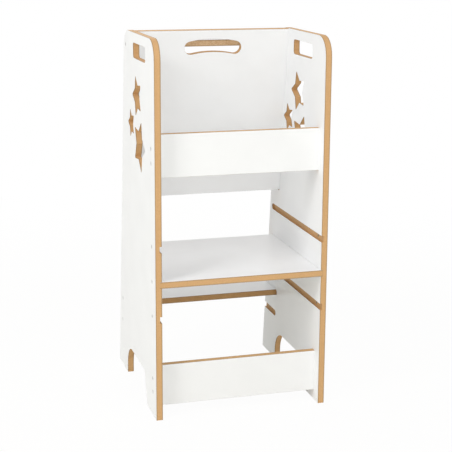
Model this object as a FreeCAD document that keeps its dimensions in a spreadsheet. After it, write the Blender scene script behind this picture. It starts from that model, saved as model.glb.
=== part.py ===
import FreeCAD, Part
import math
import os
import Sketcher

# Toddler kitchen helper stool: a flat-pack tower of laminated boards.
#
# Two side panels carry a leaning back panel, a recessed front top rail and a kick rail, a rear
# top rail, a platform that slides into one of three pairs of front-open grooves, and a rear
# crossboard that slides into one of two pairs of rear-open grooves.  Millimetres, +Z up, front
# towards -Y, origin on the floor under the centre of the object.

doc = FreeCAD.newDocument("HelperStool")

# ---------------------------------------------------------------------------- driving sizes
SIZES = (
    # whole tower
    ("overall_width", 400, "outer face to outer face of the side panels"),
    ("overall_height", 850, "floor to top edge"),
    ("base_depth", 420, "front edge to rear edge on the floor"),
    ("top_depth", 312.5, "front edge to rear edge at the top, before its corner is rounded"),
    ("board", 15, "thickness of every board"),
    ("edge_round", 0.8, "round along every exposed board edge"),
    ("top_corner_radius", 45, "front and rear top corners of a side panel"),
    # leg arch of a side panel
    ("arch_height", 76, "floor to the top of the arch"),
    ("front_foot", 95, "length of the front foot on the floor"),
    ("front_foot_lean", 29.5, "how far the arch's front wall leans back over its height"),
    ("rear_foot", 102, "length of the rear foot on the floor"),
    ("arch_front_radius", 12, "front corner of the arch"),
    ("arch_rear_radius", 55, "rear corner of the arch"),
    # hand hole of a side panel
    ("grip_setback", 84, "front edge to hand hole"),
    ("grip_drop", 23, "top edge to hand hole"),
    ("grip_length", 128, "length of the hand hole"),
    ("grip_height", 34, "height of the hand hole"),
    ("grip_radius", 8, "corners of the hand hole"),
    # three five-pointed cut-outs of a side panel, tips before rounding
    ("upper_star_setback", 175.5, "front edge to centre"),
    ("upper_star_drop", 141.5, "top edge to centre"),
    ("upper_star_radius", 49, "centre to tip"),
    ("rear_star_setback", 240.5, "front edge to centre"),
    ("rear_star_drop", 211.5, "top edge to centre"),
    ("rear_star_radius", 35.5, "centre to tip"),
    ("lower_star_setback", 152, "front edge to centre"),
    ("lower_star_drop", 251, "top edge to centre"),
    ("lower_star_radius", 61.5, "centre to tip"),
    ("lower_star_turn", 37.5, "degrees that the lower star is turned"),
    ("star_waist", 0.55, "inner corner radius over tip radius"),
    ("star_tip_round", 2.5, "cutter radius left in the corners of a star"),
    # platform and its grooves
    ("lowest_level", 242, "floor to the platform's top in its lowest grooves"),
    ("level_pitch", 80, "step between the platform's grooves"),
    ("groove_depth", 5, "depth of every groove"),
    ("board_play", 0.3, "groove height over board thickness"),
    ("end_play", 0.3, "board end to groove floor, and board corner to groove end"),
    ("groove_end_wall", 14, "wood left behind the highest platform groove"),
    ("groove_cutter_radius", 3, "cutter that clears the foot of the back panel's groove"),
    # rear crossboard and its grooves
    ("crossboard_level", 127.5, "floor to the crossboard's top in its lower grooves"),
    ("crossboard_pitch", 57, "step between the crossboard's grooves"),
    ("crossboard_depth", 80, "front to rear"),
    # rails
    ("rail_height", 96, "height of the two front rails"),
    ("rail_recess", 28, "front edge of the side panels to the front rails"),
    ("top_rail_drop", 205, "top edge to the front top rail"),
    ("kick_rail_clearance", 24, "floor to the kick rail"),
    ("rear_rail_drop", 26.5, "top edge to the rear top rail"),
    ("rear_rail_inset", 3, "rear edge to the rear top rail"),
    ("finger_gap", 9, "back panel to rear top rail"),
    # back panel
    ("back_inset", 62.5, "rear edge to the front face of the back panel, level"),
    ("back_above_platform", 46.5, "platform's highest top to the lower edge of the back panel"),
    ("hand_slot_span", 107, "between the round ends' centres of the hand slot"),
    ("hand_slot_height", 31, "height of the hand slot"),
    ("hand_slot_arc", 255, "radius that the middle of the hand slot follows"),
    ("hand_slot_drop", 36, "top edge to the middle of the hand slot"),
    # confirmat screws of the rails
    ("screw_spacing", 32, "between the two screws at a rail's end"),
    ("screw_length", 50, "with its head"),
    ("screw_shank", 7, "diameter"),
    ("screw_head", 10, "diameter"),
    ("screw_head_height", 3, "depth of the head"),
    ("screw_point", 4, "length of the point"),
    ("screw_socket", 4, "across the flats"),
    ("head_sink", 0.2, "how far a head lies below the panel's face"),
    ("bore_play", 0.05, "round a screw, dowel or insert, on the radius"),
    # lock screws and their threaded inserts
    ("lock_setback", 35.5, "front edge to the platform's lock screws"),
    ("lock_rear_setback", 28, "rear edge to the crossboard's lock screws"),
    ("lock_shank", 6, "diameter"),
    ("lock_head", 10, "diameter"),
    ("lock_head_height", 2.5, "depth of the head"),
    ("insert_diameter", 9, "outside diameter of a threaded insert"),
    ("insert_gap", 0.3, "lock screw's head to insert, and screw's tip to groove floor"),
    # wooden dowels
    ("dowel_diameter", 6, "of the hidden dowels"),
    ("dowel_length", 30, "of the hidden dowels"),
    ("dowel_chamfer", 1, "at a dowel's ends"),
    ("dowel_skin", 2.5, "wood left outside a dowel's end"),
    ("dowel_end_play", 0.5, "bore depth beyond each end of a dowel"),
    ("dowel_edge", 60, "upper and lower edge of the back panel to its dowels"),
    ("rear_rail_dowel_offset", 11, "screw to dowel at an end of the rear top rail"),
)

sheet = doc.addObject("Spreadsheet::Sheet", "Sizes")
for row, (alias, value, note) in enumerate(SIZES, start=1):
    sheet.set(f"A{row}", note)
    sheet.set(f"B{row}", str(value))
    sheet.setAlias(f"B{row}", alias)
doc.recompute()

# ---------------------------------------------------------------------- derived expressions
INNER_HALF = "(Sizes.overall_width / 2 - Sizes.board)"
FRONT = "(-Sizes.base_depth / 2)"
SLOPE = "((Sizes.base_depth - Sizes.top_depth) / Sizes.overall_height)"
LEAN = f"atan({SLOPE})"
WALL = "(Sizes.board - Sizes.groove_depth)"
GROOVE = "(Sizes.board + Sizes.board_play)"
TONGUE = "(Sizes.groove_depth - Sizes.end_play)"
LEVELS = [f"(Sizes.lowest_level + {step} * Sizes.level_pitch)" for step in range(3)]
LEVEL_NAMES = ("low", "middle", "high")
REAR_LEVELS = [f"(Sizes.crossboard_level + {step} * Sizes.crossboard_pitch)" for step in range(2)]
REAR_LEVEL_NAMES = ("low", "high")
USED_LEVEL = LEVELS[1]
USED_REAR_LEVEL = REAR_LEVELS[1]
OPEN_END = 20        # how far an open groove's sketch runs past the panel's edge
STAR_POINTS = 5
HEX_SIDES = 6


def rear_edge(height):
    """Distance from the front edge to the rear edge at a height."""
    return f"(Sizes.base_depth - {SLOPE} * {height})"


GROOVE_END = f"({rear_edge(LEVELS[-1])} - Sizes.groove_end_wall)"
PLATFORM_DEPTH = f"({GROOVE_END} - {GROOVE} / 2 - Sizes.end_play)"
TOP_RAIL_BASE = "(Sizes.overall_height - Sizes.top_rail_drop - Sizes.rail_height)"
KICK_RAIL_BASE = "Sizes.kick_rail_clearance"
RAIL_SCREW_SETBACK = "(Sizes.rail_recess + Sizes.board / 2)"
REAR_RAIL_TOP = "(Sizes.overall_height - Sizes.rear_rail_drop)"
REAR_RAIL_REAR = f"({rear_edge(REAR_RAIL_TOP)} - Sizes.rear_rail_inset)"
REAR_RAIL_DEPTH = (f"(Sizes.back_inset - Sizes.board / cos({LEAN}) - Sizes.finger_gap"
                   " - Sizes.rear_rail_inset)")
REAR_RAIL_MIDDLE = f"({REAR_RAIL_REAR} - {REAR_RAIL_DEPTH} / 2)"
REAR_RAIL_DOWEL = f"({REAR_RAIL_MIDDLE} - Sizes.rear_rail_dowel_offset)"
REAR_RAIL_AXIS = f"({REAR_RAIL_TOP} - Sizes.board / 2)"
BACK_BASE = f"({LEVELS[-1]} + Sizes.back_above_platform)"
BACK_FOOT = f"({rear_edge(BACK_BASE)} - Sizes.back_inset)"
BACK_WIDTH = f"(2 * ({INNER_HALF} + {TONGUE}))"
BACK_LENGTH = (f"((Sizes.overall_height - {BACK_BASE} - Sizes.board * sin({LEAN}))"
               f" / cos({LEAN}))")


def back_point(across, along):
    """Side view of a point of the back panel: across its thickness, and along its height."""
    return (f"({BACK_FOOT} + ({across}) * cos({LEAN}) - ({along}) * sin({LEAN}))",
            f"({BACK_BASE} + ({across}) * sin({LEAN}) + ({along}) * cos({LEAN}))")


BACK_DOWEL_HEIGHTS = ("Sizes.dowel_edge", f"({BACK_LENGTH} - Sizes.dowel_edge)")
RAIL_SCREWS = [(RAIL_SCREW_SETBACK, f"({base} + Sizes.rail_height / 2 {sign} Sizes.screw_spacing / 2)")
               for base in (TOP_RAIL_BASE, KICK_RAIL_BASE) for sign in "-+"]
PLATFORM_LOCKS = [("Sizes.lock_setback", f"({level} - Sizes.board + {GROOVE} / 2)")
                  for level in LEVELS]
CROSSBOARD_LOCKS = [(f"({rear_edge(level)} - Sizes.lock_rear_setback)",
                     f"({level} - Sizes.board + {GROOVE} / 2)") for level in REAR_LEVELS]
BACK_DOWELS = [back_point("Sizes.board / 2", along) for along in BACK_DOWEL_HEIGHTS]


def number(expression):
    """Present value of an expression of the sheet's sizes, in millimetres or degrees."""
    value = sheet.evalExpression(str(expression))
    return float(getattr(value, "Value", value))


# -------------------------------------------------------------------------- sketch helpers
def new_sketch(body, name, role, offset=None):
    """Sketch on one of the body's origin planes, moved along the plane's normal."""
    sketch = body.newObject("Sketcher::SketchObject", name)
    plane = [item for item in body.Origin.OriginFeatures if item.Role == role][0]
    sketch.AttachmentSupport = [(plane, "")]
    sketch.MapMode = "FlatFace"
    if offset:
        sketch.setExpression("AttachmentOffset.Base.z", offset)
    return sketch


def bind(sketch, kind, where, expression):
    """Dimension of a sketch, bound to an expression."""
    index = sketch.addConstraint(Sketcher.Constraint(kind, *where, number(expression)))
    label = f"size{index}"
    sketch.renameConstraint(index, label)
    sketch.setExpression(f"Constraints.{label}", str(expression))


def place_point(sketch, geometry, vertex, point):
    for kind, expression in zip(("DistanceX", "DistanceY"), point):
        bind(sketch, kind, (-1, 1, geometry, vertex), expression)


def add_outline(sketch, points, arcs=None):
    """Closed outline through points.  arcs maps a segment's number to its centre, the
    coordinate of the centre that is dimensioned, and whether it turns anticlockwise."""
    arcs = arcs or {}
    spots = [FreeCAD.Vector(number(x), number(y), 0) for x, y in points]
    ends = []
    for index, start in enumerate(spots):
        finish = spots[(index + 1) % len(spots)]
        if index in arcs:
            centre_x, centre_y, fixed, anticlockwise = arcs[index]
            centre = FreeCAD.Vector(number(centre_x), number(centre_y), 0)
            first, last = (start, finish) if anticlockwise else (finish, start)
            angles = [math.atan2(spot.y - centre.y, spot.x - centre.x) for spot in (first, last)]
            circle = Part.Circle(centre, FreeCAD.Vector(0, 0, 1), (start - centre).Length)
            item = sketch.addGeometry(Part.ArcOfCircle(circle, angles[0], angles[1]))
            ends.append((item, 1, 2) if anticlockwise else (item, 2, 1))
        else:
            item = sketch.addGeometry(Part.LineSegment(start, finish))
            ends.append((item, 1, 2))
    for index, (item, first, last) in enumerate(ends):
        following, its_first, _ = ends[(index + 1) % len(ends)]
        sketch.addConstraint(Sketcher.Constraint("Coincident", item, last, following, its_first))
        place_point(sketch, item, first, points[index])
        if index in arcs:
            centre_x, centre_y, fixed, _ = arcs[index]
            kind = {"x": "DistanceX", "y": "DistanceY"}[fixed]
            bind(sketch, kind, (-1, 1, item, 3), {"x": centre_x, "y": centre_y}[fixed])


def add_circle(sketch, centre, diameter):
    circle = Part.Circle(FreeCAD.Vector(number(centre[0]), number(centre[1]), 0),
                         FreeCAD.Vector(0, 0, 1), number(diameter) / 2)
    item = sketch.addGeometry(circle)
    place_point(sketch, item, 3, centre)
    bind(sketch, "Diameter", (item,), diameter)


def rectangle(left, low, right, high):
    return [(left, low), (right, low), (right, high), (left, high)]


# ------------------------------------------------------------------------- feature helpers
def pad(body, sketch, length, backwards=False):
    feature = body.newObject("PartDesign::Pad", f"{body.Name}_pad")
    feature.Profile = sketch
    feature.Reversed = backwards
    feature.setExpression("Length", length)
    doc.recompute()
    return feature


def pocket(body, sketch, depth, backwards=False):
    """Pocket of a depth against the sketch's normal, or along it."""
    before = body.Shape.Volume
    feature = body.newObject("PartDesign::Pocket", f"{sketch.Name}_pocket")
    feature.Profile = sketch
    feature.Reversed = backwards
    feature.setExpression("Length", depth)
    doc.recompute()
    if body.Shape.Volume >= before:
        raise RuntimeError(f"{feature.Name} removes nothing")
    return feature


def round_edges(body, name, radius, wanted):
    """Fillet on the edges of the body's present shape that wanted picks."""
    tip = body.Tip
    names = [f"Edge{number_of + 1}" for number_of, edge in enumerate(tip.Shape.Edges) if wanted(edge)]
    if not names:
        raise RuntimeError(f"{body.Name} has no edges for {name}")
    feature = body.newObject("PartDesign::Fillet", f"{body.Name}_{name}")
    feature.Base = (tip, names)
    feature.setExpression("Radius", radius)
    doc.recompute()
    return feature


def across_board(edge, *corners):
    """Whether an edge crosses the board's thickness at one of these corners of its outline."""
    box = edge.BoundBox
    return any(abs(box.YMin - y) + abs(box.YMax - y) + abs(box.ZMin - z) + abs(box.ZMax - z) < 0.01
               for y, z in corners)


def on_a_face(low, high, *levels):
    return high - low < 0.001 and any(abs(low - level) < 0.001 for level in levels)


# ------------------------------------------------------------------------------ side panels
def star_outline(name):
    """Corners of a five-pointed star, one tip towards the rear before it is turned."""
    turn = f"Sizes.{name}_turn" if name == "lower_star" else "0"
    points = []
    for corner in range(2 * STAR_POINTS):
        angle = f"(({turn} + {corner * 180 / STAR_POINTS}) * 1 deg)"
        reach = f"Sizes.{name}_radius" + (" * Sizes.star_waist" if corner % 2 else "")
        points.append((f"(Sizes.{name}_setback + {reach} * cos({angle}))",
                       f"(Sizes.overall_height - Sizes.{name}_drop + {reach} * sin({angle}))"))
    return points


def side_panel(name, inner_face, outer_face, inward):
    """Panel with its thickness from x = 0 to x = board.  inward is +1 if its inner face is at
    x = board, and -1 if it is at x = 0."""
    body = doc.addObject("PartDesign::Body", name)
    thickness = "Sizes.board"

    arch = [("Sizes.front_foot", "0"),
            ("(Sizes.front_foot + Sizes.front_foot_lean)", "Sizes.arch_height"),
            ("(Sizes.base_depth - Sizes.rear_foot)", "Sizes.arch_height"),
            ("(Sizes.base_depth - Sizes.rear_foot)", "0")]
    top_corners = [("Sizes.top_depth", "Sizes.overall_height"), ("0", "Sizes.overall_height")]
    sketch = new_sketch(body, f"{name}_outline", "YZ_Plane")
    add_outline(sketch, [("0", "0")] + arch + [("Sizes.base_depth", "0")] + top_corners)
    pad(body, sketch, thickness)
    for label, radius, corners in (("top_corners", "Sizes.top_corner_radius", top_corners),
                                   ("arch_front", "Sizes.arch_front_radius", arch[1:2]),
                                   ("arch_rear", "Sizes.arch_rear_radius", arch[2:3])):
        spots = [(number(y), number(z)) for y, z in corners]
        round_edges(body, label, radius, lambda edge: across_board(edge, *spots))

    grip_top = "(Sizes.overall_height - Sizes.grip_drop)"
    grip = rectangle("Sizes.grip_setback", f"({grip_top} - Sizes.grip_height)",
                     "(Sizes.grip_setback + Sizes.grip_length)", grip_top)
    through = new_sketch(body, f"{name}_grip", "YZ_Plane")
    add_outline(through, grip)
    pocket(body, through, thickness, backwards=True)
    spots = [(number(y), number(z)) for y, z in grip]
    round_edges(body, "grip_corners", "Sizes.grip_radius", lambda edge: across_board(edge, *spots))

    stars = [star_outline(star) for star in ("upper_star", "rear_star", "lower_star")]
    through = new_sketch(body, f"{name}_stars", "YZ_Plane")
    for outline in stars:
        add_outline(through, outline)
    pocket(body, through, thickness, backwards=True)
    spots = [(number(y), number(z)) for outline in stars for y, z in outline]
    round_edges(body, "star_corners", "Sizes.star_tip_round", lambda edge: across_board(edge, *spots))

    faces = (0, number(thickness))
    round_edges(body, "edges", "Sizes.edge_round",
                lambda edge: on_a_face(edge.BoundBox.XMin, edge.BoundBox.XMax, *faces))

    grooves = new_sketch(body, f"{name}_grooves", "YZ_Plane", inner_face)
    for level in LEVELS:
        front_groove(grooves, level)
    for level in REAR_LEVELS:
        rear_groove(grooves, level)
    back_groove(grooves)
    from_inside = inward < 0
    pocket(body, grooves, "Sizes.groove_depth", backwards=from_inside)

    heads = new_sketch(body, f"{name}_screw_heads", "YZ_Plane", outer_face)
    shanks = new_sketch(body, f"{name}_screw_shanks", "YZ_Plane", outer_face)
    for spot in RAIL_SCREWS + [(REAR_RAIL_MIDDLE, REAR_RAIL_AXIS)]:
        add_circle(heads, spot, "(Sizes.screw_head + 2 * Sizes.bore_play)")
        add_circle(shanks, spot, "(Sizes.screw_shank + 2 * Sizes.bore_play)")
    pocket(body, heads, "(Sizes.screw_head_height + Sizes.head_sink)", backwards=not from_inside)
    pocket(body, shanks, thickness, backwards=not from_inside)

    heads = new_sketch(body, f"{name}_lock_heads", "YZ_Plane", outer_face)
    inserts = new_sketch(body, f"{name}_insert_bores", "YZ_Plane", outer_face)
    for spot in PLATFORM_LOCKS + CROSSBOARD_LOCKS:
        add_circle(heads, spot, "(Sizes.lock_head + 2 * Sizes.bore_play)")
        add_circle(inserts, spot, "(Sizes.insert_diameter + 2 * Sizes.bore_play)")
    pocket(body, heads, "(Sizes.lock_head_height + Sizes.head_sink)", backwards=not from_inside)
    pocket(body, inserts, thickness, backwards=not from_inside)

    dowels = new_sketch(body, f"{name}_dowel_bores", "YZ_Plane", inner_face)
    for spot in BACK_DOWELS + [(REAR_RAIL_DOWEL, REAR_RAIL_AXIS)]:
        add_circle(dowels, spot, "(Sizes.dowel_diameter + 2 * Sizes.bore_play)")
    pocket(body, dowels, "(Sizes.board - Sizes.dowel_skin + Sizes.dowel_end_play)",
           backwards=from_inside)
    return body


def front_groove(sketch, level):
    """Groove open to the front edge, with a round rear end, for a board whose top is at level."""
    low = f"({level} - Sizes.board)"
    high = f"({low} + {GROOVE})"
    round_start = f"({GROOVE_END} - {GROOVE} / 2)"
    middle = f"({low} + {GROOVE} / 2)"
    add_outline(sketch, rectangle(f"(-{OPEN_END})", low, round_start, high),
                {1: (round_start, middle, "x", True)})


def rear_groove(sketch, level):
    """Groove open to the rear edge, with a round front end."""
    low = f"({level} - Sizes.board)"
    high = f"({low} + {GROOVE})"
    round_start = f"({rear_edge(level)} - Sizes.crossboard_depth - Sizes.end_play)"
    middle = f"({low} + {GROOVE} / 2)"
    add_outline(sketch, rectangle(round_start, low, f"({rear_edge(level)} + {OPEN_END})", high),
                {3: (round_start, middle, "x", True)})


def back_groove(sketch):
    """Leaning groove of the back panel, open at the top edge.  A small cutter clears its foot,
    so that the panel's square corner goes down between the round corners."""
    radius = "Sizes.groove_cutter_radius"
    near = "(-Sizes.board_play / 2)"
    far = "(Sizes.board + Sizes.board_play / 2)"
    bend = "(-Sizes.end_play)"
    foot = f"({bend} - {radius})"
    head = f"({BACK_LENGTH} + {OPEN_END})"
    bends = [back_point(f"{near} + {radius}", bend), back_point(f"{far} - {radius}", bend)]
    add_outline(sketch, [back_point(near, bend), back_point(f"{near} + {radius}", foot),
                         back_point(f"{far} - {radius}", foot), back_point(far, bend),
                         back_point(far, head), back_point(near, head)],
                {0: (*bends[0], "x", True), 2: (*bends[1], "x", True)})


# ------------------------------------------------------------------------- boards along X
def cross_board(name, depth, height, length, front, base):
    """Straight board between the side panels, its four long edges rounded."""
    body = doc.addObject("PartDesign::Body", name)
    sketch = new_sketch(body, f"{name}_section", "YZ_Plane")
    add_outline(sketch, rectangle("0", "0", depth, height))
    pad(body, sketch, length)
    end = number(length)
    round_edges(body, "edges", "Sizes.edge_round",
                lambda edge: edge.BoundBox.XLength > end / 2)
    body.setExpression("Placement.Base.x", f"-({length}) / 2")
    body.setExpression("Placement.Base.y", f"{FRONT} + {front}")
    body.setExpression("Placement.Base.z", base)
    return body


def bore_ends(body, length, spots, diameter, depth, label):
    """The same blind bores in both ends of a cross board."""
    for end, offset, backwards in (("left", None, True), ("right", length, False)):
        sketch = new_sketch(body, f"{body.Name}_{end}_{label}", "YZ_Plane", offset)
        for spot in spots:
            add_circle(sketch, spot, f"({diameter} + 2 * Sizes.bore_play)")
        pocket(body, sketch, depth, backwards=backwards)


INNER_WIDTH = f"(2 * {INNER_HALF})"
GROOVED_WIDTH = f"(2 * ({INNER_HALF} + {TONGUE}))"
SCREW_BORE_DEPTH = "(Sizes.screw_length + Sizes.head_sink - Sizes.board + Sizes.dowel_end_play)"
DOWEL_IN_PANEL = "(Sizes.board - Sizes.dowel_skin)"
DOWEL_IN_GROOVED_PANEL = f"({WALL} - Sizes.dowel_skin)"


def front_rail(name, base):
    rail = cross_board(name, "Sizes.board", "Sizes.rail_height", INNER_WIDTH, "Sizes.rail_recess", base)
    spots = [("(Sizes.board / 2)", f"(Sizes.rail_height / 2 {sign} Sizes.screw_spacing / 2)")
             for sign in "-+"]
    bore_ends(rail, INNER_WIDTH, spots, "Sizes.screw_shank", SCREW_BORE_DEPTH, "bores")
    return rail


def rear_top_rail():
    rail = cross_board("rear_top_rail", REAR_RAIL_DEPTH, "Sizes.board", INNER_WIDTH,
                       f"{REAR_RAIL_REAR} - {REAR_RAIL_DEPTH}", f"{REAR_RAIL_TOP} - Sizes.board")
    middle = f"({REAR_RAIL_DEPTH} / 2)"
    bore_ends(rail, INNER_WIDTH, [(middle, "(Sizes.board / 2)")],
              "Sizes.screw_shank", SCREW_BORE_DEPTH, "screw_bores")
    bore_ends(rail, INNER_WIDTH, [(f"({middle} - Sizes.rear_rail_dowel_offset)", "(Sizes.board / 2)")],
              "Sizes.dowel_diameter",
              f"(Sizes.dowel_length - {DOWEL_IN_PANEL} + Sizes.dowel_end_play)", "dowel_bores")
    return rail


def back_panel():
    """Flat board, drawn upright and then leaned so that its top comes forward."""
    body = doc.addObject("PartDesign::Body", "back_panel")
    sketch = new_sketch(body, "back_panel_outline", "XZ_Plane")
    add_outline(sketch, rectangle("0", "0", BACK_WIDTH, BACK_LENGTH))
    add_hand_slot(sketch)
    pad(body, sketch, "Sizes.board", backwards=True)
    faces = (0, number("Sizes.board"))
    round_edges(body, "edges", "Sizes.edge_round",
                lambda edge: on_a_face(edge.BoundBox.YMin, edge.BoundBox.YMax, *faces))
    spots = [("(Sizes.board / 2)", along) for along in BACK_DOWEL_HEIGHTS]
    depth = f"(Sizes.dowel_length - {DOWEL_IN_GROOVED_PANEL} - Sizes.end_play + Sizes.dowel_end_play)"
    bore_ends(body, BACK_WIDTH, spots, "Sizes.dowel_diameter", depth, "dowel_bores")
    body.Placement = FreeCAD.Placement(FreeCAD.Vector(), FreeCAD.Rotation(FreeCAD.Vector(1, 0, 0), 1))
    body.setExpression("Placement.Rotation.Angle", LEAN)
    body.setExpression("Placement.Base.x", f"-{BACK_WIDTH} / 2")
    body.setExpression("Placement.Base.y", f"{FRONT} + {BACK_FOOT}")
    body.setExpression("Placement.Base.z", BACK_BASE)
    return body


def add_hand_slot(sketch):
    """Slot that follows an arc, highest in the middle, with round ends."""
    arc, half_span = "Sizes.hand_slot_arc", "(Sizes.hand_slot_span / 2)"
    centre_x = f"({BACK_WIDTH} / 2)"
    centre_y = f"({BACK_LENGTH} - Sizes.hand_slot_drop - {arc})"
    rise = f"sqrt(1 - ({half_span} / {arc}) ^ 2)"

    def end_point(side, reach):
        radius = f"({arc} {reach})"
        return (f"({centre_x} {side} {radius} * {half_span} / {arc})",
                f"({centre_y} + {radius} * {rise})")

    outer, inner = "+ Sizes.hand_slot_height / 2", "- Sizes.hand_slot_height / 2"
    points = [end_point("-", inner), end_point("+", inner), end_point("+", outer), end_point("-", outer)]
    caps = {side: end_point(side, "") for side in "+-"}
    add_outline(sketch, points, {0: (centre_x, centre_y, "y", False),
                                 1: (caps["+"][0], caps["+"][1], "x", True),
                                 2: (centre_x, centre_y, "y", True),
                                 3: (caps["-"][0], caps["-"][1], "x", True)})


# --------------------------------------------------------------------------------- hardware
def turned_part(name, profile):
    """Body of revolution about +Z, from a profile of radius and height."""
    body = doc.addObject("PartDesign::Body", name)
    sketch = new_sketch(body, f"{name}_profile", "XZ_Plane")
    add_outline(sketch, profile)
    turned = body.newObject("PartDesign::Revolution", f"{name}_turned")
    turned.Profile = sketch
    turned.ReferenceAxis = (sketch, ["V_Axis"])
    turned.Angle = 360
    doc.recompute()
    return body


def hex_socket(body, flats, depth):
    sketch = new_sketch(body, f"{body.Name}_socket", "XY_Plane")
    corners = []
    for corner in range(HEX_SIDES):
        angle = f"({corner * 360 / HEX_SIDES} * 1 deg)"
        reach = f"{flats} / 2 / cos({180 / HEX_SIDES} deg)"
        corners.append((f"({reach} * cos({angle}))", f"({reach} * sin({angle}))"))
    add_outline(sketch, corners)
    pocket(body, sketch, depth, backwards=True)


def rail_screw():
    """Confirmat screw, head at z = 0 and point towards +Z."""
    shank, head = "(Sizes.screw_shank / 2)", "(Sizes.screw_head / 2)"
    body = turned_part("rail_screw", [
        ("0", "0"), (head, "0"), (head, "Sizes.screw_head_height"),
        (shank, "Sizes.screw_head_height"), (shank, "(Sizes.screw_length - Sizes.screw_point)"),
        (f"({shank} / 2)", "Sizes.screw_length"), ("0", "Sizes.screw_length")])
    hex_socket(body, "Sizes.screw_socket", "Sizes.screw_head_height")
    return body


def lock_screw():
    """Flat-headed screw whose tip stops just short of the groove floor."""
    shank, head = "(Sizes.lock_shank / 2)", "(Sizes.lock_head / 2)"
    tip = f"({WALL} - Sizes.head_sink - Sizes.insert_gap)"
    body = turned_part("lock_screw", [
        ("0", "0"), (head, "0"), (head, "Sizes.lock_head_height"),
        (shank, "Sizes.lock_head_height"), (shank, tip), ("0", tip)])
    hex_socket(body, "Sizes.screw_socket", "Sizes.lock_head_height")
    return body


def threaded_insert():
    """Sleeve in the wall behind a groove, from under the screw's head to the groove floor."""
    bore = "(Sizes.lock_shank / 2 + Sizes.bore_play)"
    outside = "(Sizes.insert_diameter / 2)"
    low = "(Sizes.lock_head_height + Sizes.insert_gap)"
    high = f"({WALL} - Sizes.head_sink - Sizes.insert_gap)"
    return turned_part("threaded_insert", [(bore, low), (outside, low), (outside, high), (bore, high)])


def wood_dowel():
    """Chamfered dowel along +Z, z = 0 at one end."""
    radius, chamfer = "(Sizes.dowel_diameter / 2)", "Sizes.dowel_chamfer"
    return turned_part("wood_dowel", [
        ("0", "0"), (f"({radius} - {chamfer})", "0"), (radius, chamfer),
        (radius, f"(Sizes.dowel_length - {chamfer})"),
        (f"({radius} - {chamfer})", "Sizes.dowel_length"), ("0", "Sizes.dowel_length")])


def hardware_group(name, part, start, spots):
    """One copy of a turned part at each spot in both side panels, pointing inwards.  start is
    how far inside the outer face the part's z = 0 end lies."""
    copies = []
    for side, sign, turn in (("left", "-", 90), ("right", "", -90)):
        for count, (setback, height) in enumerate(spots, start=1):
            copy = doc.addObject("App::Link", f"{name}_{side}_{count}")
            copy.LinkedObject = part
            copy.LinkTransform = False
            axis = FreeCAD.Vector(0, 1, 0)
            copy.Placement = FreeCAD.Placement(FreeCAD.Vector(), FreeCAD.Rotation(axis, turn))
            copy.setExpression("Placement.Base.x", f"{sign}(Sizes.overall_width / 2 - {start})")
            copy.setExpression("Placement.Base.y", f"{FRONT} + {setback}")
            copy.setExpression("Placement.Base.z", height)
            copies.append(copy)
    group = doc.addObject("Part::Compound", name)
    group.Links = copies
    return group


# --------------------------------------------------------------------------------- assembly
left_panel = side_panel("left_side_panel", "Sizes.board", None, 1)
left_panel.setExpression("Placement.Base.x", "-Sizes.overall_width / 2")
right_panel = side_panel("right_side_panel", None, "Sizes.board", -1)
right_panel.setExpression("Placement.Base.x", INNER_HALF)
for panel in (left_panel, right_panel):
    panel.setExpression("Placement.Base.y", FRONT)

platform = cross_board("platform", PLATFORM_DEPTH, "Sizes.board", GROOVED_WIDTH, "0",
                       f"{USED_LEVEL} - Sizes.board")
crossboard_front = f"{rear_edge(USED_REAR_LEVEL)} - Sizes.crossboard_depth"
crossboard = cross_board("rear_crossboard", "Sizes.crossboard_depth", "Sizes.board", GROOVED_WIDTH,
                         crossboard_front, f"{USED_REAR_LEVEL} - Sizes.board")
nodes = [left_panel, right_panel, back_panel(), front_rail("front_top_rail", TOP_RAIL_BASE),
         front_rail("front_kick_rail", KICK_RAIL_BASE), rear_top_rail(), platform, crossboard]

confirmat, clamp, insert, dowel = rail_screw(), lock_screw(), threaded_insert(), wood_dowel()
nodes += [
    hardware_group("front_top_rail_screws", confirmat, "Sizes.head_sink", RAIL_SCREWS[:2]),
    hardware_group("front_kick_rail_screws", confirmat, "Sizes.head_sink", RAIL_SCREWS[2:]),
    hardware_group("rear_top_rail_screws", confirmat, "Sizes.head_sink",
                   [(REAR_RAIL_MIDDLE, REAR_RAIL_AXIS)]),
    hardware_group("rear_top_rail_dowels", dowel, "Sizes.dowel_skin",
                   [(REAR_RAIL_DOWEL, REAR_RAIL_AXIS)]),
    hardware_group("back_panel_dowels", dowel, "Sizes.dowel_skin", BACK_DOWELS),
]
for family, names, spots in (("platform", LEVEL_NAMES, PLATFORM_LOCKS),
                             ("crossboard", REAR_LEVEL_NAMES, CROSSBOARD_LOCKS)):
    for level_name, spot in zip(names, spots):
        nodes.append(hardware_group(f"{family}_lock_screws_{level_name}", clamp,
                                    "Sizes.head_sink", [spot]))
        nodes.append(hardware_group(f"{family}_inserts_{level_name}", insert,
                                    "Sizes.head_sink", [spot]))

doc.recompute()

# ---------------------------------------------------------------------------------- export
for item in doc.Objects:
    if "Invalid" in item.State or "Error" in item.State:
        raise RuntimeError(f"{item.Name} is {item.State}")
for node in nodes:
    if node.Shape.isNull() or not node.Shape.isValid():
        raise RuntimeError(f"{node.Name} has no valid shape")

os.makedirs("parts", exist_ok=True)
for node in nodes:
    node.Label = node.Name
    node.Shape.exportStep(f"parts/{node.Label}.step")
    box = node.Shape.BoundBox
    print(f"{node.Label:30s} solids {len(node.Shape.Solids)}  volume {node.Shape.Volume:12.1f}"
          f"  x {box.XMin:7.1f} {box.XMax:7.1f}  y {box.YMin:7.1f} {box.YMax:7.1f}"
          f"  z {box.ZMin:7.1f} {box.ZMax:7.1f}")
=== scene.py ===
"""Looks of the helper stool: white laminated boards with bare fibreboard edges, zinc screws,
brass inserts and beech dowels, on a pale studio floor."""
import math
from typing import NamedTuple

import bpy
from mathutils import Matrix, Vector


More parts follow.
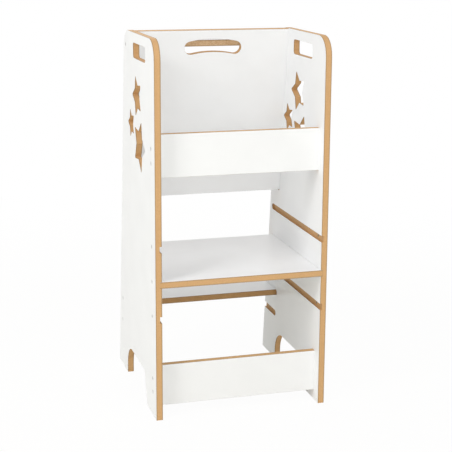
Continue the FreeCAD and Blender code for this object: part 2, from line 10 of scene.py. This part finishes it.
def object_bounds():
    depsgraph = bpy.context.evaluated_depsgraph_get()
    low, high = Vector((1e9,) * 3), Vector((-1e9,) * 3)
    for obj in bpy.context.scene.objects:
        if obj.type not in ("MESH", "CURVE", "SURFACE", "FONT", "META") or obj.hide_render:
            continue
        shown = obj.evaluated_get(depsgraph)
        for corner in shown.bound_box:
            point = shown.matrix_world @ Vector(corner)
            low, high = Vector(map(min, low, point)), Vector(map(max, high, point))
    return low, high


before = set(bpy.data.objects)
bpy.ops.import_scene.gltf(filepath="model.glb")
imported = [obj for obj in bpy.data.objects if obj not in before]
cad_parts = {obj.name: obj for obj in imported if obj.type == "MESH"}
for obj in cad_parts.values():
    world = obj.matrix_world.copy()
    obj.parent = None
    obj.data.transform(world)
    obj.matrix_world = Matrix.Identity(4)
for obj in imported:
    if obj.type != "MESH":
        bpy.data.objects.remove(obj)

CAD_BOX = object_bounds()

MILLIMETRE = 0.001

BOARDS = ("left_side_panel", "right_side_panel", "back_panel", "front_top_rail",
          "front_kick_rail", "rear_top_rail", "platform", "rear_crossboard")

# The view of the photograph: a long lens in front and to the left, a little above the top edge
IMAGE_SIDE = 452
SENSOR = 36.0
FOCAL_LENGTH = 94.76
CAMERA_PLACE = Vector((-0.7507, -2.6519, 1.065))
CAMERA_YAW = 16.22          # degrees towards +X
CAMERA_PITCH = 12.701       # degrees below the horizon
CAMERA_ROLL = 0.315         # degrees clockwise
OPTICAL_AXIS_ROW = 203      # row of the picture that the optical axis meets

# Soft lamps, most of them to the left: degrees from the front towards +X, degrees up, and watts
LAMPS = {"left_high": (-60, 40, 40), "left_low": (-60, 12, 14), "front_high": (0, 40, 12),
         "front_low": (0, 12, 17), "right_high": (35, 45, 6), "rear": (180, 35, 20)}
LAMP_DISTANCE = 3.8
LAMP_SIZE = 1.5
LAMP_TARGET = Vector((0, 0, 0.42))
WORLD_LIGHT = 0.55
FLOOR_REACH = 12.0          # from the middle to each side
FLOOR_DROP = 0.2 * MILLIMETRE       # keeps the floor just clear of the feet
FLOOR_WHITE = 0.96          # share of the floor that shows plain white beside the object
FLOOR_FADE = (0.7, 2.2)     # distances over which that share grows to all of it

# Colours, linear
WHITE = (1.0, 1.0, 1.0)
LAMINATE = (0.925, 0.93, 0.934)
LAMINATE_SHADE = (0.908, 0.913, 0.917)
FIBRE_PALE = (0.715, 0.44, 0.21)
FIBRE_MAIN = (0.61, 0.358, 0.157)
FIBRE_DARK = (0.36, 0.2, 0.085)
FIBRE_PRESSED = (0.37, 0.245, 0.135)
RESIN = (0.3, 0.2, 0.12)
ZINC = (0.72, 0.72, 0.71)
# painted shade for the screws' shanks, where they sit in their holes
SHANK_PAINTED_SHADE = (0.1, 0.095, 0.09)
BRASS = (0.62, 0.44, 0.19)
BEECH = (0.60, 0.40, 0.22)
BEECH_DARK = (0.42, 0.25, 0.12)
FLOOR = (0.88, 0.866, 0.79)
METAL_DULLED = 0.72         # what a duller spot keeps of the metal's colour
FLOOR_DULLED = 0.98         # what the floor's speckles keep of its colour

# The pale and the main tone of two boards, set apart from the others' fibres: the rear top rail's paler
# as painted light through the hand slot, the rear crossboard's darker and browner as painted shade
# under the platform
PAINTED_LIGHT_AND_SHADE_FIBRES = {"rear_top_rail": ((0.95, 0.77, 0.53), FIBRE_MAIN),
                "rear_crossboard": ((0.58, 0.33, 0.14), (0.48, 0.27, 0.11))}

# Layers of a board: how far each reaches in from a face, and how strongly it shows
LAMINATE_DEPTH = 0.2 * MILLIMETRE
RESIN_DEPTH = 0.3 * MILLIMETRE
RESIN_SHARE = 0.8
PRESSED_DEPTH = 3.2 * MILLIMETRE
PRESSED_SHARE = 0.75
LAYER_BLUR = 0.03 * MILLIMETRE

# Painted shade darkens the floor of a groove, which faces as the board's faces do, but lies deeper
PAINTED_GROOVE_SHADE_DEPTHS = (0.6 * MILLIMETRE, 0.9 * MILLIMETRE)
PAINTED_GROOVE_SHADE_FACING = (0.9, 0.98)         # cosines, from none of it to all
PAINTED_GROOVE_SHADE_SHARE = 0.3

HEAD_DEPTH = 3.5 * MILLIMETRE       # side panel's outer face to the foot of a screw's head

# Roughness, the least and the most
NOISE_MIDDLE = (0.3, 0.7)           # most of a noise lies between these values
FIBRE_ROUGHNESS = (0.55, 0.68)
LAMINATE_ROUGHNESS = (0.3, 0.37)
ZINC_ROUGHNESS = (0.27, 0.43)
BRASS_ROUGHNESS = (0.23, 0.39)
BEECH_ROUGHNESS = 0.62
BOARD_IOR = 1.45
BOARD_SPECULAR = 0.3

# Relief: its strength, and the height of its full range
FIBRE_RELIEF = (0.35, 0.25 * MILLIMETRE)
LAMINATE_RELIEF = (0.12, 0.05 * MILLIMETRE)
METAL_RELIEF = (0.2, 0.03 * MILLIMETRE)
BEECH_RELIEF = (0.3, 0.1 * MILLIMETRE)
MARK_HEIGHT = 0.5           # of the cutter's marks, beside that of the tufts


class Pattern(NamedTuple):
    """A noise, and the part of its range where a tone comes in."""
    scale: float            # features to a metre
    detail: float           # finer layers of the noise
    low: float = 0.0        # value where the tone begins
    high: float = 1.0       # value where it is all there
    share: float = 1.0      # how strongly it shows there
    roughness: float = 0.5  # weight of the finer layers


TUFTS = Pattern(260.0, 4.0, 0.32, 0.68, roughness=0.62)
TUFT_FLATNESS = 5.0         # how much longer than thick a tuft of fibres is
FLECKS = Pattern(900.0, 2.0, 0.6, 0.74, 0.4)
CLOUDS = Pattern(9.0, 2.0, 0.35, 0.7, 0.2)
CUTTER_MARKS = Pattern(700.0, 1.0, 0.5, 0.68, 0.12)
LAMINATE_PEEL = Pattern(420.0, 2.0)
LAMINATE_MOTTLE = Pattern(14.0, 3.0, 0.35, 0.65)
METAL_GRAIN = Pattern(2400.0, 2.0)
METAL_SPOTS = Pattern(320.0, 3.0, 0.52, 0.7)
BEECH_GRAIN = Pattern(1500.0, 4.0, 0.35, 0.65)
BEECH_RAYS = Pattern(3600.0, 1.0, 0.66, 0.74, 0.6)
BEECH_STRETCH = (0.12, 1.0, 1.0)    # the dowels' grain runs along X
FLOOR_SPECKLE = Pattern(180.0, 3.0)

FACET_DIGITS = 3            # facets that face the same way agree to as many decimals


# ---------------------------------------------------------------------------- node helpers
class Shader:
    """The node tree of a material or of the world, with short calls for the nodes used here."""

    def __init__(self, owner, output="ShaderNodeOutputMaterial"):
        self.owner = owner
        self.owner.use_nodes = True
        self.tree = self.owner.node_tree
        self.tree.nodes.clear()
        self.output = self.add(output)

    def add(self, kind, inputs=None, **settings):
        """A new node, with its settings and with a value or a link for each of the inputs."""
        node = self.tree.nodes.new(kind)
        for key, value in settings.items():
            setattr(node, key, value)
        for key, value in (inputs or {}).items():
            self.feed(node.inputs[key], value)
        return node

    def feed(self, socket, value):
        if isinstance(value, bpy.types.NodeSocket):
            self.tree.links.new(value, socket)
        elif isinstance(value, tuple) and len(value) == 3 and len(socket.default_value) == 4:
            socket.default_value = (*value, 1.0)
        else:
            socket.default_value = value

    def math(self, operation, *values):
        return self.add("ShaderNodeMath", dict(enumerate(values)), operation=operation).outputs[0]

    def vector(self, operation, *values):
        return self.add("ShaderNodeVectorMath", dict(enumerate(values)), operation=operation).outputs[0]

    def dot(self, first, second):
        node = self.add("ShaderNodeVectorMath", {0: first, 1: second}, operation="DOT_PRODUCT")
        return node.outputs["Value"]

    def length(self, vector):
        return self.add("ShaderNodeVectorMath", {0: vector}, operation="LENGTH").outputs["Value"]

    def scaled(self, vector, factor):
        node = self.add("ShaderNodeVectorMath", {"Vector": vector, "Scale": factor}, operation="SCALE")
        return node.outputs[0]

    def span(self, value, low, high, to_low=0.0, to_high=1.0, smooth=False):
        """The value, with its range from low to high made into the one from to_low to to_high."""
        node = self.add("ShaderNodeMapRange", {"Value": value, "From Min": low, "From Max": high,
                                               "To Min": to_low, "To Max": to_high},
                        interpolation_type="SMOOTHSTEP" if smooth else "LINEAR")
        return node.outputs[0]

    def noise(self, place, pattern):
        node = self.add("ShaderNodeTexNoise", {"Vector": place, "Scale": pattern.scale,
                                               "Detail": pattern.detail,
                                               "Roughness": pattern.roughness})
        return node.outputs["Fac"]

    def mix(self, factor, first, second):
        """The first colour where the factor is 0, and the second one where it is 1."""
        return self.add("ShaderNodeMix", {0: factor, 6: first, 7: second}, data_type="RGBA").outputs[2]

    def blend(self, factor, first, second):
        """The first number where the factor is 0, and the second one where it is 1."""
        return self.add("ShaderNodeMix", {0: factor, 2: first, 3: second}, data_type="FLOAT").outputs[0]

    def tint(self, colour, noise, pattern, tone):
        """The colour, with the tone where the noise of that pattern is high."""
        return self.mix(self.span(noise, pattern.low, pattern.high, 0.0, pattern.share), colour, tone)

    def gloss(self, noise, least, most):
        """Roughness that follows a noise."""
        return self.span(noise, *NOISE_MIDDLE, least, most)

    def bump(self, height, strength, distance, normal=None):
        inputs = {"Height": height, "Strength": strength, "Distance": distance}
        if normal:
            inputs["Normal"] = normal
        return self.add("ShaderNodeBump", inputs).outputs[0]

    def show(self, node):
        """Make a node the surface, and give back the material or the world."""
        self.tree.links.new(node.outputs[0], self.output.inputs["Surface"])
        return self.owner

    @property
    def place(self):
        return self.add("ShaderNodeTexCoord").outputs["Object"]

    @property
    def normal(self):
        return self.add("ShaderNodeTexCoord").outputs["Normal"]


def material_shader(name):
    return Shader(bpy.data.materials.new(name))


def dulled(colour, share):
    return tuple(value * share for value in colour)


# --------------------------------------------------------------------------- board materials
def thickness_axis(node):
    """A board's unit normal, and how far its two faces lie along it, from its largest facets."""
    areas = {}
    for facet in node.data.polygons:
        leading = next(value for value in facet.normal if round(value, FACET_DIGITS))
        normal = facet.normal * math.copysign(1.0, leading)
        key = tuple(round(value, FACET_DIGITS) for value in normal)
        area, _ = areas.get(key, (0.0, None))
        areas[key] = (area + facet.area, normal)
    axis = max(areas.values(), key=lambda entry: entry[0])[1].normalized()
    reach = [axis.dot(vertex.co) for vertex in node.data.vertices]
    return axis, min(reach), max(reach)


def fibreboard(shader, place, axis, along, depth, pale, main):
    """Colour, relief height and roughness of bare fibreboard: fibres that lie flat in the board,
    dark flecks, the cutter's fine marks across the edge, a denser layer under each face, and
    painted shade on the floors of the grooves."""
    lift = shader.scaled(axis, shader.math("MULTIPLY", along, TUFT_FLATNESS))
    tuft_place = shader.vector("ADD", place, lift)
    mark_place = shader.vector("SUBTRACT", place, shader.scaled(axis, along))
    tufts = shader.noise(tuft_place, TUFTS)
    flecks = shader.noise(tuft_place, FLECKS)
    marks = shader.noise(mark_place, CUTTER_MARKS)

    colour = shader.tint(main, tufts, TUFTS, pale)
    colour = shader.tint(colour, flecks, FLECKS, FIBRE_DARK)
    colour = shader.tint(colour, shader.noise(place, CLOUDS), CLOUDS, main)
    colour = shader.tint(colour, marks, CUTTER_MARKS, FIBRE_DARK)

    # Painted shade: a groove's floor, facing along the thickness but lying deeper than the faces, is
    # darkened toward FIBRE_DARK
    facing = shader.math("ABSOLUTE", shader.dot(shader.normal, axis))
    painted_groove_shade = shader.math("MULTIPLY", shader.span(facing, *PAINTED_GROOVE_SHADE_FACING),
                         shader.span(depth, *PAINTED_GROOVE_SHADE_DEPTHS, 0.0, PAINTED_GROOVE_SHADE_SHARE))
    colour = shader.mix(painted_groove_shade, colour, FIBRE_DARK)

    densest = PRESSED_DEPTH / 3
    pressed = shader.span(depth, PRESSED_DEPTH, densest, 0.0, PRESSED_SHARE, smooth=True)
    colour = shader.mix(pressed, colour, FIBRE_PRESSED)
    resin = shader.span(depth, RESIN_DEPTH + LAYER_BLUR, RESIN_DEPTH - LAYER_BLUR, 0.0, RESIN_SHARE)
    colour = shader.mix(resin, colour, RESIN)

    height = shader.math("ADD", tufts, shader.math("MULTIPLY", marks, MARK_HEIGHT))
    return colour, height, shader.gloss(flecks, *FIBRE_ROUGHNESS)


def board_material(node):
    """White laminate on a board's two faces, and bare fibreboard everywhere else."""
    axis, low, high = thickness_axis(node)
    axis = tuple(axis)
    shader = material_shader(f"board_{node.name}")
    place = shader.place
    along = shader.dot(place, axis)
    depth = shader.math("MINIMUM", shader.math("SUBTRACT", along, low),
                        shader.math("SUBTRACT", high, along))
    laminated = shader.span(depth, LAMINATE_DEPTH + LAYER_BLUR, LAMINATE_DEPTH - LAYER_BLUR)
    bare = shader.math("SUBTRACT", 1.0, laminated)
    # Two boards take fibre tones with painted light or painted shade in them
    tones = PAINTED_LIGHT_AND_SHADE_FIBRES.get(node.name, (FIBRE_PALE, FIBRE_MAIN))
    fibre_colour, fibre_height, fibre_gloss = fibreboard(shader, place, axis, along, depth, *tones)

    peel = shader.noise(place, LAMINATE_PEEL)
    mottle = shader.noise(place, LAMINATE_MOTTLE)
    laminate_colour = shader.tint(LAMINATE, mottle, LAMINATE_MOTTLE, LAMINATE_SHADE)
    laminate_gloss = shader.gloss(mottle, *LAMINATE_ROUGHNESS)

    fibre_relief = shader.bump(shader.math("MULTIPLY", fibre_height, bare), *FIBRE_RELIEF)
    relief = shader.bump(shader.math("MULTIPLY", peel, laminated), *LAMINATE_RELIEF, fibre_relief)
    return shader.show(shader.add("ShaderNodeBsdfPrincipled", {
        "Base Color": shader.mix(laminated, fibre_colour, laminate_colour),
        "Roughness": shader.blend(laminated, fibre_gloss, laminate_gloss),
        "Normal": relief, "IOR": BOARD_IOR, "Specular IOR Level": BOARD_SPECULAR}))


# ------------------------------------------------------------------------ hardware materials
def metal_material(name, colour, roughness, shank_painted_shade=None):
    """Turned and plated metal: fine grain in its gloss, and a few duller spots.  A shank colour,
    where given, is painted shade: the metal turns to it from the foot of the head inwards."""
    shader = material_shader(name)
    place = shader.place
    grain = shader.noise(place, METAL_GRAIN)
    spots = shader.noise(place, METAL_SPOTS)
    tone = shader.tint(colour, spots, METAL_SPOTS, dulled(colour, METAL_DULLED))
    if shank_painted_shade:
        # Painted shade on the shank, inward of the head's foot, where it sits in its hole
        across = shader.math("ABSOLUTE", shader.add("ShaderNodeSeparateXYZ", {0: place}).outputs["X"])
        foot = CAD_BOX[1].x - HEAD_DEPTH
        tone = shader.mix(shader.span(across, foot, foot - MILLIMETRE), tone, shank_painted_shade)
    return shader.show(shader.add("ShaderNodeBsdfPrincipled", {
        "Base Color": tone, "Metallic": 1.0, "Roughness": shader.gloss(grain, *roughness),
        "Normal": shader.bump(grain, *METAL_RELIEF)}))


def beech_material():
    """Raw dowel wood: grain and short dark rays along X."""
    shader = material_shader("beech")
    stretched = shader.vector("MULTIPLY", shader.place, BEECH_STRETCH)
    grain = shader.noise(stretched, BEECH_GRAIN)
    rays = shader.noise(stretched, BEECH_RAYS)
    tone = shader.tint(BEECH, grain, BEECH_GRAIN, BEECH_DARK)
    tone = shader.tint(tone, rays, BEECH_RAYS, BEECH_DARK)
    return shader.show(shader.add("ShaderNodeBsdfPrincipled", {
        "Base Color": tone, "Roughness": BEECH_ROUGHNESS,
        "Normal": shader.bump(grain, *BEECH_RELIEF)}))


def dress_nodes():
    """Give every piece its material: a board its own, and like hardware a shared one."""
    # the zinc screws' shanks take painted shade
    zinc = metal_material("zinc", ZINC, ZINC_ROUGHNESS, shank_painted_shade=SHANK_PAINTED_SHADE)
    brass = metal_material("brass", BRASS, BRASS_ROUGHNESS)
    beech = beech_material()
    for name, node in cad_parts.items():
        if name in BOARDS:
            material = board_material(node)
        elif "insert" in name:
            material = brass
        elif "dowel" in name:
            material = beech
        else:
            material = zinc
        for slot in node.material_slots:
            slot.material = material


# ------------------------------------------------------------------------------------ studio
def make_camera():
    """Camera at the photograph's place, turned by its yaw, pitch and roll."""
    yaw, pitch, roll = (math.radians(angle) for angle in (CAMERA_YAW, CAMERA_PITCH, CAMERA_ROLL))
    forward = Vector((math.sin(yaw) * math.cos(pitch), math.cos(yaw) * math.cos(pitch),
                      -math.sin(pitch)))
    level = Vector((math.cos(yaw), -math.sin(yaw), 0))
    upright = level.cross(forward)
    right = level * math.cos(roll) + upright * math.sin(roll)
    up = upright * math.cos(roll) - level * math.sin(roll)
    camera = bpy.data.objects.new("camera", bpy.data.cameras.new("camera"))
    bpy.context.scene.collection.objects.link(camera)
    turn = Matrix((right, up, -forward)).transposed().to_4x4()
    camera.matrix_world = Matrix.Translation(CAMERA_PLACE) @ turn
    camera.data.sensor_width = SENSOR
    camera.data.lens = FOCAL_LENGTH
    camera.data.shift_y = (OPTICAL_AXIS_ROW - IMAGE_SIDE / 2) / IMAGE_SIDE
    bpy.context.scene.camera = camera


def make_lamp(name, turn, rise, power):
    """Soft round lamp that shines at the object from turn and rise, in degrees."""
    turn, rise = math.radians(turn), math.radians(rise)
    away = Vector((math.sin(turn) * math.cos(rise), -math.cos(turn) * math.cos(rise), math.sin(rise)))
    lamp = bpy.data.objects.new(name, bpy.data.lights.new(name, "AREA"))
    bpy.context.scene.collection.objects.link(lamp)
    lamp.data.shape = "DISK"
    lamp.data.size = LAMP_SIZE
    lamp.data.energy = power
    lamp.location = LAMP_TARGET + LAMP_DISTANCE * away
    lamp.rotation_mode = "QUATERNION"
    lamp.rotation_quaternion = away.to_track_quat("Z", "Y")


def seen_directly(shader):
    """1 for camera, glossy and transmission rays, which meet the white background."""
    path = shader.add("ShaderNodeLightPath")
    mirrored = shader.math("MAXIMUM", path.outputs["Is Camera Ray"], path.outputs["Is Glossy Ray"])
    return shader.math("MAXIMUM", mirrored, path.outputs["Is Transmission Ray"])


def make_world():
    """Pale light from all around, and a plain white background where it is seen directly."""
    world = bpy.data.worlds.new("studio")
    bpy.context.scene.world = world
    shader = Shader(world, "ShaderNodeOutputWorld")
    light = shader.add("ShaderNodeBackground", {"Color": WHITE, "Strength": WORLD_LIGHT})
    white = shader.add("ShaderNodeBackground", {"Color": WHITE, "Strength": 1.0})
    shader.show(shader.add("ShaderNodeMixShader", {0: seen_directly(shader), 1: light.outputs[0],
                                                   2: white.outputs[0]}))


def floor_material():
    """Pale floor that shows plain white where it is seen directly, save for a faint shadow."""
    shader = material_shader("floor")
    speckle = shader.noise(shader.place, FLOOR_SPECKLE)
    matte = shader.add("ShaderNodeBsdfDiffuse",
                       {"Color": shader.mix(speckle, FLOOR, dulled(FLOOR, FLOOR_DULLED))})
    glow = shader.add("ShaderNodeEmission", {"Color": WHITE, "Strength": 1.0})
    plain = shader.span(shader.length(shader.place), *FLOOR_FADE, FLOOR_WHITE, 1.0, smooth=True)
    share = shader.math("MULTIPLY", seen_directly(shader), plain)
    return shader.show(shader.add("ShaderNodeMixShader", {0: share, 1: matte.outputs[0],
                                                          2: glow.outputs[0]}))


def make_floor():
    mesh = bpy.data.meshes.new("floor")
    corners = [(-FLOOR_REACH, -FLOOR_REACH, 0), (FLOOR_REACH, -FLOOR_REACH, 0),
               (FLOOR_REACH, FLOOR_REACH, 0), (-FLOOR_REACH, FLOOR_REACH, 0)]
    mesh.from_pydata(corners, [], [(0, 1, 2, 3)])
    mesh.materials.append(floor_material())
    floor = bpy.data.objects.new("floor", mesh)
    bpy.context.scene.collection.objects.link(floor)
    floor.location.z = CAD_BOX[0].z - FLOOR_DROP


dress_nodes()
make_camera()
make_world()
make_floor()
for lamp_name, (turn, rise, power) in LAMPS.items():
    make_lamp(lamp_name, turn, rise, power)

bpy.context.scene.view_settings.view_transform = "Standard"
